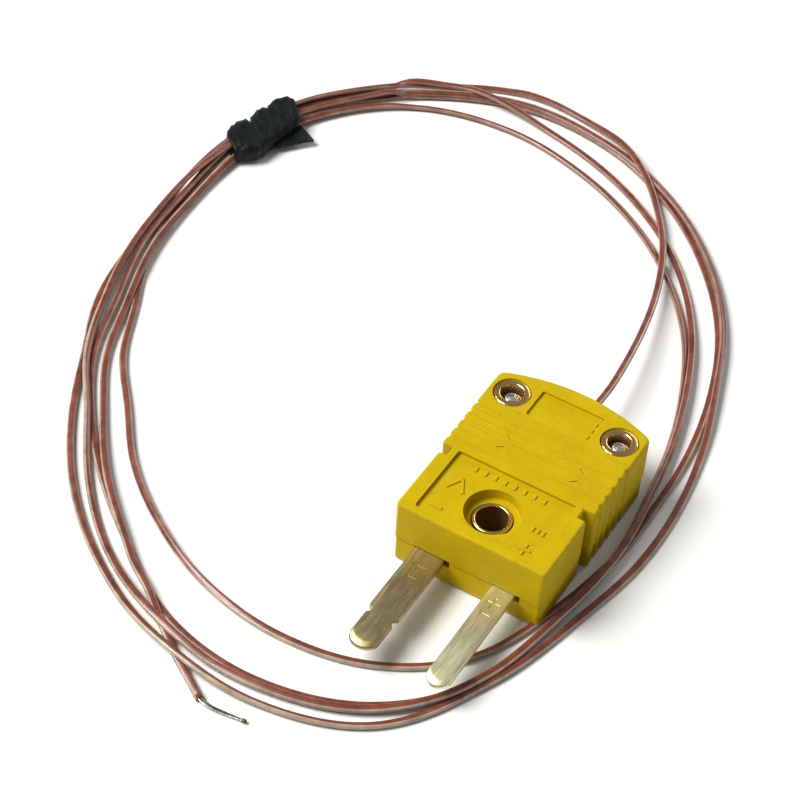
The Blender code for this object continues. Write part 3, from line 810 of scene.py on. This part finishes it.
def bake(obj):
    """Puts what the object's modifiers make into its own mesh."""
    bpy.context.view_layer.update()
    graph = bpy.context.evaluated_depsgraph_get()
    result = bpy.data.meshes.new_from_object(obj.evaluated_get(graph))
    obj.modifiers.clear()
    old = obj.data
    obj.data = result
    bpy.data.meshes.remove(old)


def plug_walls(name, levels, looks):
    """The plug's outline skinned through (inset, z) levels."""
    rings = [[(x, y, z) for x, y in body_outline(inset)] for inset, z in levels]
    return place_mesh(name, loft(name, rings), (looks["yellow_nylon"],), "plug")


def blade_slots(low, high):
    """Room for the blades in the front face: snug on the left of each blade and open on its right."""
    made = []
    for side, width in PINS:
        left, right = side * PIN_X - width / 2.0 - 0.10, side * PIN_X + width / 2.0
        made.append(block("slot", (left, -6.0, low), (right + 0.50, -3.9, high)))
        made.append(block("slot", (left, -4.0, low), (right + 0.12, 10.2, high)))
    return made


def grommet_seat():
    return laid_back(plain_hole("grommet_seat", 1.2, 0.0, 4.0, 40, (0.0, 0.0, 0.0)), (0.0, 14.9, LEAD_Z))


def make_upper_shell(looks):
    """The upper moulding, with its two panels, the well round the bush, the insert holes and the room inside."""
    levels = [(0.06, 3.13), (0.0, 3.20)]
    rounding = 0.30
    for k in range(7):
        angle = math.pi / 2.0 * k / 6.0
        levels.append((rounding * (1.0 - math.cos(angle)), 7.90 + (math.sin(angle) - 1.0) * rounding))
    shell = plug_walls("upper_shell_moulding", levels, looks)
    cutters = [
        prism("front_panel", soft_rectangle(-6.35, -3.95, 6.35, 4.25, 0.25), 7.52, 9.0),
        prism("rear_panel", soft_rectangle(-3.45, 11.9, 3.45, 15.55, 0.25), 7.62, 9.0),
        lathe("well", [(0.0, 6.40), (2.62, 6.40), (2.72, 6.5), (2.86, 9.0), (0.0, 9.0)], 72, BUSH_AT),
        plain_hole("bush_hole", 2.05, 2.0, 7.0, 64, BUSH_AT),
        block("pocket", (-6.1, 5.6, 2.0), (6.1, 11.2, 6.25)),
        block("way", (-2.3, 10.9, 2.1), (2.3, 15.1, 5.1)),
    ]
    for _, x in SCREWS:
        profile = [(0.0, 2.0), (1.62, 2.0), (1.62, 7.33), (1.91, 7.33), (1.93, 9.0), (0.0, 9.0)]
        cutters.append(lathe("insert_hole", profile, 48, (x, SCREW_Y, 0.0)))
    cutters.append(grommet_seat())
    cutters += blade_slots(2.0, 3.28)
    # Two round pads over the clamping screws show as broken arcs.
    for side in (-1, 1):
        for start, end in ((28.0, 66.0), (-72.0, -30.0)):
            middle = (side * PIN_X, TERMINAL_Y)
            outline = arc(*middle, 1.10, start, end, 6) + arc(*middle, 0.98, end, start, 6)
            cutters.append(prism("pad_arc", outline, 7.76, 9.0))
    carve(shell, cutters)
    soften(shell, 0.07)
    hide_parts("upper_shell")


def make_lower_shell(looks):
    """The lower moulding, with the room inside, the screws' recesses and a plain underside."""
    levels = []
    wall_inset, rounding = 0.10, 0.30
    for k in range(5):
        angle = math.pi / 2.0 * k / 4.0
        levels.append((wall_inset + rounding * (1.0 - math.sin(angle)), rounding * (1.0 - math.cos(angle))))
    levels += [(wall_inset, 3.0), (0.15, 3.07)]
    shell = plug_walls("lower_shell_moulding", levels, looks)
    through = [(0.0, -1.0), (1.75, -1.0), (1.65, 0.2), (1.65, 1.2), (0.0, 1.2)]
    cutters = [
        block("pocket", (-6.1, 5.6, 1.0), (6.1, 11.2, 4.0)),
        block("way_front", (-2.3, 10.9, 1.3), (2.3, 12.0, 4.1)),
        block("way_middle", (-2.25, 11.8, 2.5), (2.25, 13.5, 4.2)),
        block("way_rear", (-2.3, 13.3, 1.2), (2.3, 15.1, 4.3)),
        plain_hole("bush_seat", 2.05, 0.8, 4.0, 64, BUSH_AT),
        lathe("bush_through", through, 64, BUSH_AT),
        # The underside has a shallow panel of its own and two round marks left by the moulding tool.
        prism("under_panel", soft_rectangle(-5.2, 6.2, 5.2, 10.6, 0.4), -1.0, 0.18),
        *(prism("front_mark", arc(x, -2.0, 0.9, 0.0, 345.0, 23), -1.0, 0.06) for x in (-4.6, 4.6)),
    ]
    head_room = [(0.0, -1.0), (1.85, -1.0), (1.75, 0.15), (1.75, 1.95), (0.0, 1.95)]
    for _, x in SCREWS:
        cutters.append(lathe("head_room", head_room, 48, (x, SCREW_Y, 0.0)))
        cutters.append(plain_hole("shank_room", 0.95, 1.5, 4.0, 32, (x, SCREW_Y, 0.0)))
    cutters.append(grommet_seat())
    cutters += blade_slots(2.30, 3.7)
    carve(shell, cutters)
    soften(shell, 0.06)
    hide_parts("lower_shell")


def bar_rings(x, y, length, width, turn, low, high):
    """A short raised bar, turned by that many degrees, with its upper edges taken off."""
    direction = Vector((math.cos(math.radians(turn)), math.sin(math.radians(turn))))
    side = Vector((-direction.y, direction.x))
    rings = []
    for z, shrink in ((low, 0.0), (high - 0.05, 0.0), (high, 0.05)):
        ring = []
        for a, b in ((-1, -1), (1, -1), (1, 1), (-1, 1)):
            at = Vector((x, y)) + direction * a * (length / 2.0 - shrink) + side * b * (width / 2.0 - shrink)
            ring.append((at.x, at.y, z))
        rings.append(ring)
    return rings


def make_marks(looks):
    """Plain raised signs on the recessed panels: a bar and a cross for the two poles, a pointer, and short ribs."""
    # Each is (x, y, length, width, turn).
    front = [(-3.9 + 1.05 * k, 3.30, 0.34, 0.62, 0.0) for k in range(8)]
    front += [(-4.75, 0.75, 1.9, 0.26, 62.0), (-3.90, 0.75, 1.9, 0.26, 118.0)]
    front += [(-4.75, -2.75, 1.3, 0.24, 0.0), (4.65, -2.75, 1.3, 0.24, 0.0)]
    front += [(4.65, -2.28, 0.5, 0.24, 90.0), (4.65, -3.22, 0.5, 0.24, 90.0)]
    front += [(4.15 + 0.55 * k, -0.2, 0.26, 0.62, 0.0) for k in range(3)]
    rear = [(2.95, 12.65 + 0.95 * k, 0.22, 0.5, 0.0) for k in range(3)]
    bars = [bar_rings(*bar, 7.50, 7.66) for bar in front] + [bar_rings(*bar, 7.60, 7.74) for bar in rear]
    points, faces = [], []
    for rings in bars:
        start = len(points)
        points += [point for ring in rings for point in ring]
        for r in range(len(rings) - 1):
            low = start + 4 * r
            faces += [(low + i, low + (i + 1) % 4, low + 4 + (i + 1) % 4, low + 4 + i) for i in range(4)]
        faces += [tuple(range(start, start + 4)), tuple(range(start + 8, start + 12))]
    marks = place_mesh("panel_marks", mesh_of("panel_marks", points, faces), (looks["yellow_nylon"],), "plug", 30.0)


# ---- blades, brass and screws


# The notch near the broad blade's tip: steps in from its edge, and y.
NOTCH = (
    (0.0, -12.60), (0.05, -12.85), (0.36, -13.05), (0.48, -13.18), (0.50, -13.32),
    (0.44, -13.48), (0.20, -13.68), (0.14, -13.85), (0.14, -14.1),
)
# A blade's levels: height, how far its long edges and its tip draw in, and how far the tip rises.
BLADE_LEVELS = (
    (2.42, 0.09, 0.42, 0.0), (2.45, 0.03, 0.20, 0.05), (2.52, 0.0, 0.0, 0.12), (3.10, 0.0, 0.0, -0.20),
    (3.17, 0.03, 0.10, -0.16), (3.20, 0.07, 0.55, -0.04), (3.21, 0.12, 0.75, 0.0),
)


def blade_outline(width, side, notched, inset, tip_inset):
    """A blade from above, with the inset taken off its long edges and the tip's inset off its end."""
    half = width / 2.0 - inset
    tip = -17.40 + tip_inset
    outer = [(half, 9.40 - inset), (half, -4.0)]
    inner = [(half, 9.40 - inset), (half, 4.6)]
    if notched:
        neck = [(half - x, y) for x, y in NOTCH]
        outer += neck
        inner += [(half - 0.45, 4.4), (half - 0.45, -3.1), (half, -3.3)] + neck
        half -= 0.14
    end = []
    for k in range(14):
        angle = math.pi / 2.0 * k / 14.0
        end.append((half * math.cos(angle), tip + 1.15 * (1.0 - math.sin(angle))))
    points = [(side * x, y) for x, y in outer + end]
    return points + [(0.0, tip)] + [(-side * x, y) for x, y in reversed(inner + end)]


def make_blade(node, side, width, slot, looks):
    name = node + "_stamped"
    middle = side * PIN_X
    rings = []
    for z, inset, tip_inset, rise in BLADE_LEVELS:
        ring = []
        for x, y in blade_outline(width, side, width > 3.0, inset, tip_inset):
            near_tip = min(max((-16.0 - y) / 0.8, 0.0), 1.0)
            ring.append((x + middle, y, z + rise * near_tip))
        rings.append(ring)
    blade = place_mesh(name, loft(name, rings), (looks[slot],), "plug", 30.0)
    cutters = [plain_hole("hole", 0.95, 1.0, 4.5, 32, (middle, TERMINAL_Y, 0.0))]
    # A plain stamped sign near the root tells the poles apart: a bar or a cross, and a short tick.
    y, deep, shallow = -6.6, 3.12, 3.13
    cutters.append(block("stamp", (middle - 0.68, y - 0.13, deep), (middle + 0.68, y + 0.13, 4.0)))
    if side > 0:
        cutters.append(block("stamp", (middle - 0.13, y - 0.68, deep), (middle + 0.13, y + 0.68, 4.0)))
    cutters.append(block("stamp", (middle - 0.45, y - 1.66, shallow), (middle + 0.45, y - 1.44, 4.0)))
    carve(blade, cutters)
    shade(blade.data, 22.0)
    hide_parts(node)


def make_bush(looks):
    """A rolled eyelet: a thin wall with a bead round its mouth, and a bore in rougher brass, painted darker as shade.
    """
    profile = [(1.56, 1.0), (1.92, 1.0), (1.92, 6.35)]
    for k in range(11):
        angle = math.pi * k / 10.0
        profile.append((1.735 + 0.205 * math.cos(angle), 6.47 + 0.205 * math.sin(angle)))
    profile += [(1.56, 6.30), (1.555, 4.0)]
    last = len(profile) - 1
    mesh = lathe("bush", profile, 96, BUSH_AT, True, lambda k: 1 if k >= last - 2 else 0)
    bush = place_mesh("centre_bush_turned", mesh, (looks["brass"], looks["bore"]), "plug", 50.0)
    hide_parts("centre_bush")


def flange_wobble(radius, z, angle):
    """The flange's edge is a little nicked all round from being pressed in."""
    if radius < 1.7:
        return 0.0
    nick = max(0.0, math.sin(11.0 * angle + 0.8 * math.sin(3.0 * angle))) ** 6
    return -0.035 * nick - 0.012 * math.sin(5.0 * angle + 1.0)


def make_insert(tag, x, looks):
    """A threaded insert with a rounded flange. Its bore, from the profile's 14th step on, is rougher and painted
    darker, as shade.
    """
    profile = [
        (0.88, 3.6), (1.5, 3.6), (1.5, 7.43), (1.80, 7.43), (1.83, 7.47), (1.83, 7.74), (1.80, 7.81), (1.73, 7.86),
        (1.66, 7.885), (1.52, 7.90), (1.36, 7.915), (1.26, 7.905), (1.19, 7.87), (1.14, 7.80), (1.12, 7.70),
        (1.12, 7.3), (1.12, 6.6), (0.88, 6.4),
    ]
    at = (x, SCREW_Y, 0.0)
    mesh = lathe(tag + "_insert", profile, 88, at, True, lambda k: 1 if k >= 14 else 0, flange_wobble)
    insert = place_mesh(tag + "_insert_turned", mesh, (looks["brass"], looks["bore"]), "plug", 40.0)
    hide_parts(tag + "_insert")


THREAD_RADIUS, THREAD_PITCH, THREAD_START, THREAD_END = 0.80, 0.35, 1.60, 7.02
SCREW_HEAD = (
    (0.0, 0.75), (0.55, 0.75), (0.95, 0.78), (1.22, 0.87), (1.38, 1.01), (1.45, 1.20), (1.45, 1.50), (1.41, 1.55),
    (0.86, 1.55),
)
SCREW_TIP = (
    (0.72, 7.09), (0.66, 7.16), (0.58, 7.20), (0.48, 7.16), (0.38, 7.18), (0.24, 7.24), (0.10, 7.25), (0.0, 7.22),
)


def thread_wobble(radius, z, angle):
    """How deep the thread is cut at that height and angle. It fades in under the head."""
    if radius != THREAD_RADIUS:
        return 0.0
    phase = (z / THREAD_PITCH - angle / (2.0 * math.pi)) % 1.0
    return -0.15 * abs(2.0 * phase - 1.0) ** 0.8 * min(1.0, (z - THREAD_START) / 0.5)


def make_screw(tag, x, looks):
    """A pan-head screw, head down, with a cut thread, a turned tip and a cross recess."""
    shank = []
    z = THREAD_START
    while z < THREAD_END:
        shank.append((THREAD_RADIUS, z))
        z += THREAD_PITCH / 7.0
    profile = [*SCREW_HEAD, *shank, *SCREW_TIP]
    mesh = lathe(tag + "_screw", profile, 36, (x, SCREW_Y, 0.0), wobble=thread_wobble)
    screw = place_mesh(tag + "_screw_cut", mesh, (looks["plated_steel"], looks["recess"]), tag + "_screw", 42.0)
    long, short = 0.92, 0.20
    outline = [(long, -short), (long, short), (short, short), (short, long), (-short, long), (-short, short)]
    outline += [(-u, -v) for u, v in outline]
    rings = []
    for z, grow in ((0.4, 1.10), (1.10, 0.92), (1.28, 0.50)):
        rings.append([(x + u * grow, SCREW_Y + v * grow, z) for u, v in outline])
    carve(screw, [loft("cross", rings)])
    # The faces inside the cross recess take the darker steel, which paints in the shade there.
    for face in screw.data.polygons:
        off = math.hypot(face.center.x - x * MM, face.center.y - SCREW_Y * MM)
        in_shaded_recess = off < 1.0 * MM and 0.79 * MM < face.center.z < 1.35 * MM
        face.material_index = 1 if in_shaded_recess else 0
    shade(screw.data, 42.0)
    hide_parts(tag + "_body_screw")


def make_spring_washer(tag, x, looks):
    """A split ring whose two ends stand a little apart in height."""
    section = (
        (0.92, 1.65), (0.95, 1.635), (1.37, 1.635), (1.40, 1.66), (1.40, 1.81), (1.37, 1.845), (0.95, 1.845),
        (0.92, 1.82),
    )
    rings = []
    steps = 60
    for k in range(steps + 1):
        angle = math.radians(6.0 + 348.0 * k / steps)
        rise = 0.035 * (k / steps - 0.5)
        across, along = math.cos(angle), math.sin(angle)
        rings.append([(x + r * across, SCREW_Y + r * along, z + rise) for r, z in section])
    name = tag + "_spring_washer"
    washer = place_mesh(name, loft(name, rings), (looks["plated_steel"],), tag + "_washer", 35.0)
    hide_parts(tag + "_lock_washer")


def make_grommet(looks):
    """A rubber sleeve with two soft ribs, on the lead's own line."""
    inner_y = 14.3
    profile = [(0.56, 14.3), (1.75, 14.3), (1.78, 14.36), (1.78, 14.68), (1.72, 14.75), (1.15, 14.76), (1.10, 15.2)]
    for y in (15.6, 16.3):
        profile += [(1.10, y), (1.145, y + 0.08), (1.145, y + 0.28), (1.10, y + 0.36)]
    profile += [(1.12, 17.35), (1.09, 17.50), (1.02, 17.58), (0.90, 17.61), (0.66, 17.61), (0.57, 17.55)]
    mesh = lathe("grommet", [(radius, y - inner_y) for radius, y in profile], 48, ring=True)
    mesh = laid_back(mesh, (0.0, inner_y, LEAD_Z))
    grommet = place_mesh("lead_grommet_ribbed", mesh, (looks["grommet_rubber"],), "plug", 40.0)
    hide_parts("lead_grommet")


# ---- the tie and the measuring tip

# The tie runs along the coil from TIE_LOW to TIE_HIGH, counted from -25 degrees. The tables give, at distances along
# it, the radius of its inner and of its outer edge, and how high its top is.
TIE_LOW, TIE_HIGH = -5.1, 3.9
TIE_INNER = (
    (-5.1, 36.5), (-4.6, 36.2), (-3.4, 35.8), (-2.3, 35.7), (-1.0, 36.3), (0.2, 37.0), (1.6, 37.6), (2.8, 38.2),
    (3.9, 38.9),
)
TIE_OUTER = (
    (-5.1, 39.7), (-4.8, 40.2), (-4.5, 40.5), (-3.8, 41.0), (-3.0, 41.3), (-2.3, 41.4), (-2.05, 41.5), (-1.9, 41.1),
    (-1.72, 40.75), (-1.58, 41.2), (-1.45, 41.7), (-1.0, 41.8), (-0.4, 42.4), (0.2, 42.6), (0.7, 42.55), (0.82, 42.4),
    (0.95, 42.8), (1.5, 43.3), (2.1, 43.6), (2.7, 43.6), (3.2, 43.7), (3.45, 43.8), (3.6, 43.5), (3.9, 43.1),
)
TIE_TOP = (
    (-5.1, 2.35), (-4.0, 2.45), (-2.6, 2.45), (-1.72, 2.30), (-0.9, 2.40), (0.2, 2.45), (0.82, 2.35), (2.0, 2.50),
    (3.0, 2.50), (3.9, 2.40),
)


def between(table, at):
    return float(np.interp(at, [a for a, _ in table], [b for _, b in table]))


def tie_point(along, radius, z):
    return coil_point(math.radians(-25.0) + along / 40.0, radius, z)


def tie_pull(along, turn):
    """How far the film draws in: winding creases run slantwise round the bundle, with finer puckers between them."""
    slant = along + 0.9 * math.sin(turn + 0.7)
    crease = 1.0 - abs(math.sin(1.3 * slant + 0.6 * math.sin(2.0 * turn)))
    fine = math.sin(5.3 * along + 4.0 * turn + 1.7 * math.sin(1.3 * along)) * math.sin(3.0 * turn - 2.1 * along)
    return 0.12 * crease**5 + 0.05 * fine + 0.04 * math.sin(9.0 * turn + 3.0 * along) * math.sin(2.6 * along)


def make_film_body(looks):
    """The wound strip, in three puckered lobes with a flattened round section."""
    stations, sides, squareness = 110, 72, 0.60
    rings = []
    for k in range(stations + 1):
        along = TIE_LOW + (TIE_HIGH - TIE_LOW) * k / stations
        inner, outer, top = (between(table, along) for table in (TIE_INNER, TIE_OUTER, TIE_TOP))
        ring = []
        for i in range(sides):
            turn = 2.0 * math.pi * i / sides
            c, n = math.cos(turn), math.sin(turn)
            across = math.copysign(abs(c) ** squareness, c)
            upright = math.copysign(abs(n) ** squareness, n)
            pull = tie_pull(along, turn)
            radius = (inner + outer) / 2.0 + across * ((outer - inner) / 2.0 - pull)
            z = top / 2.0 + upright * (top / 2.0 - 0.5 * pull)
            ring.append(tie_point(along + 0.25 * c, radius, max(z, 0.03)))
        rings.append(ring)
    # Both mouths turn in towards the bundle.
    mouths = []
    for ring, at, back in ((rings[0], TIE_LOW, 1.0), (rings[-1], TIE_HIGH, -1.0)):
        middle = np.mean(ring, axis=0)
        inwards = np.array(tie_point(at + 0.4 * back, 39.0, 0.0)) - np.array(tie_point(at, 39.0, 0.0))
        out = 0.12 * inwards / np.linalg.norm(inwards)
        lip = [tuple(middle + 0.86 * (np.array(p) - middle) - out) for p in ring]
        deep = [tuple(middle + 0.55 * (np.array(p) - middle) + 1.2 * inwards) for p in ring]
        mouths.append((lip, deep))
    (low_lip, low_deep), (high_lip, high_deep) = mouths
    rings = [low_deep, low_lip] + rings + [high_lip, high_deep]
    return place_mesh("film_tie", loft("film_tie", rings), (looks["black_film"],), "plug", None)


def make_film_tongue(looks):
    """The strip's free end, which stands out on the inner side as a flat pointed tongue."""
    steps, half_thick = 18, 0.05
    rings = []
    for k in range(steps + 1):
        t = k / steps
        along = -0.6 + 5.5 * t
        lower = 36.6 + 0.05 * t
        if along < TIE_HIGH:
            upper = between(TIE_INNER, along) + 0.9
        else:
            upper = 39.6 - 2.9 * (along - TIE_HIGH)
        upper = max(upper, lower + 0.03)
        if along < 0.2:
            lower = between(TIE_INNER, along) + 0.05
        middle = 0.55 + 0.20 * math.sin(2.2 * t + 0.4) + 0.05 * math.sin(9.0 * t)
        sag = 0.10 * math.sin(7.0 * t + 1.0)
        under = [(u, -half_thick + dip) for u, dip in ((0.0, 0.0), (0.33, sag), (0.66, sag), (1.0, 0.0))]
        over = [(u, half_thick + dip) for u, dip in ((1.0, 0.0), (0.66, sag), (0.33, sag), (0.0, 0.0))]
        rings.append([tie_point(along, lower + (upper - lower) * u, middle + dz + 0.25 * u) for u, dz in under + over])
    return place_mesh("film_tongue", loft("film_tongue", rings), (looks["black_film"],), "plug", 40.0)


def make_tie(looks):
    tie = make_film_body(looks)
    tongue = make_film_tongue(looks)
    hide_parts("coil_tie")
    return [tie, tongue]


# The two bare wires' middle line, and how far each wire lies to its side of it.
WIRE_ROUTE = (
    (-14.1, -28.12, 0.42, 0.14), (-13.4, -28.46, 0.37, 0.15), (-12.3, -28.60, 0.29, 0.13),
    (-10.9, -28.45, 0.24, 0.11), (-9.8, -28.31, 0.25, 0.07), (-9.1, -28.23, 0.27, 0.04),
)


def bead_wobble(radius, z, angle):
    return 0.020 * math.sin(3.0 * angle + 9.0 * z) + 0.012 * math.sin(5.0 * angle - 14.0 * z)


def make_tip(looks):
    """Two bare wires side by side that meet in a small welded bead."""
    made = []
    for name, node, side, look, slot in (
        ("red_core_wire", "negative_bare_wire", 1.0, looks["dark_wire"], "negative_alloy"),
        ("pale_core_wire", "positive_bare_wire", -1.0, looks["pale_wire"], "positive_alloy"),
    ):
        route = smooth_route([(x, y + off * side, z) for x, y, z, off in WIRE_ROUTE], 10)
        turns = np.linspace(0.0, 2.0 * math.pi, 13)[:-1]
        rings = []
        for k, (point, level, above) in enumerate(frames(route)):
            radius = 0.090 * (1.0 + 0.04 * math.sin(0.9 * k))
            rings.append([point + radius * (math.cos(a) * level + math.sin(a) * above) for a in turns])
        wire = place_mesh(name, loft(name, rings), (look,), "plug", None)
        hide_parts(node)
        made.append(wire)
    profile = [(0.0, -0.26)]
    for k in range(1, 14):
        angle = math.pi * k / 14.0
        radius = 0.22 * math.sin(angle) * (1.0 + 0.10 * math.cos(2.0 * angle))
        profile.append((radius, -0.26 * math.cos(angle)))
    profile.append((0.0, 0.26))
    mesh = lathe("bead", profile, 28, wobble=bead_wobble)
    mesh.transform(Matrix.Translation((-9.0 * MM, -28.20 * MM, 0.27 * MM)) @ Matrix.Rotation(math.pi / 2.0, 4, "Y"))
    bead = place_mesh("welded_bead", mesh, (looks["bead"],), "plug", None)
    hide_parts("junction_bead")
    return made + [bead]


# ---- everything in place

looks = make_looks()
make_camera()
make_stage()
make_lights()
lead, lead_path, lead_length = make_lead(looks)
make_upper_shell(looks)
make_lower_shell(looks)
make_marks(looks)
make_blade("broad_blade", *PINS[0], "negative_alloy", looks)
make_blade("narrow_blade", *PINS[1], "positive_alloy", looks)
make_bush(looks)
for tag, x in SCREWS:
    make_insert(tag, x, looks)
    make_screw(tag, x, looks)
    make_spring_washer(tag, x, looks)
make_grommet(looks)
on_lead = make_tie(looks) + make_tip(looks)

for row in frame["record"]["subparts"]:
    node = frame["nodes"][row["node"]]
    node.data.materials.clear()
    node.data.materials.append(looks[row["material_slot"]])

[[float(v) * MM for v in p] for p in lead_path]
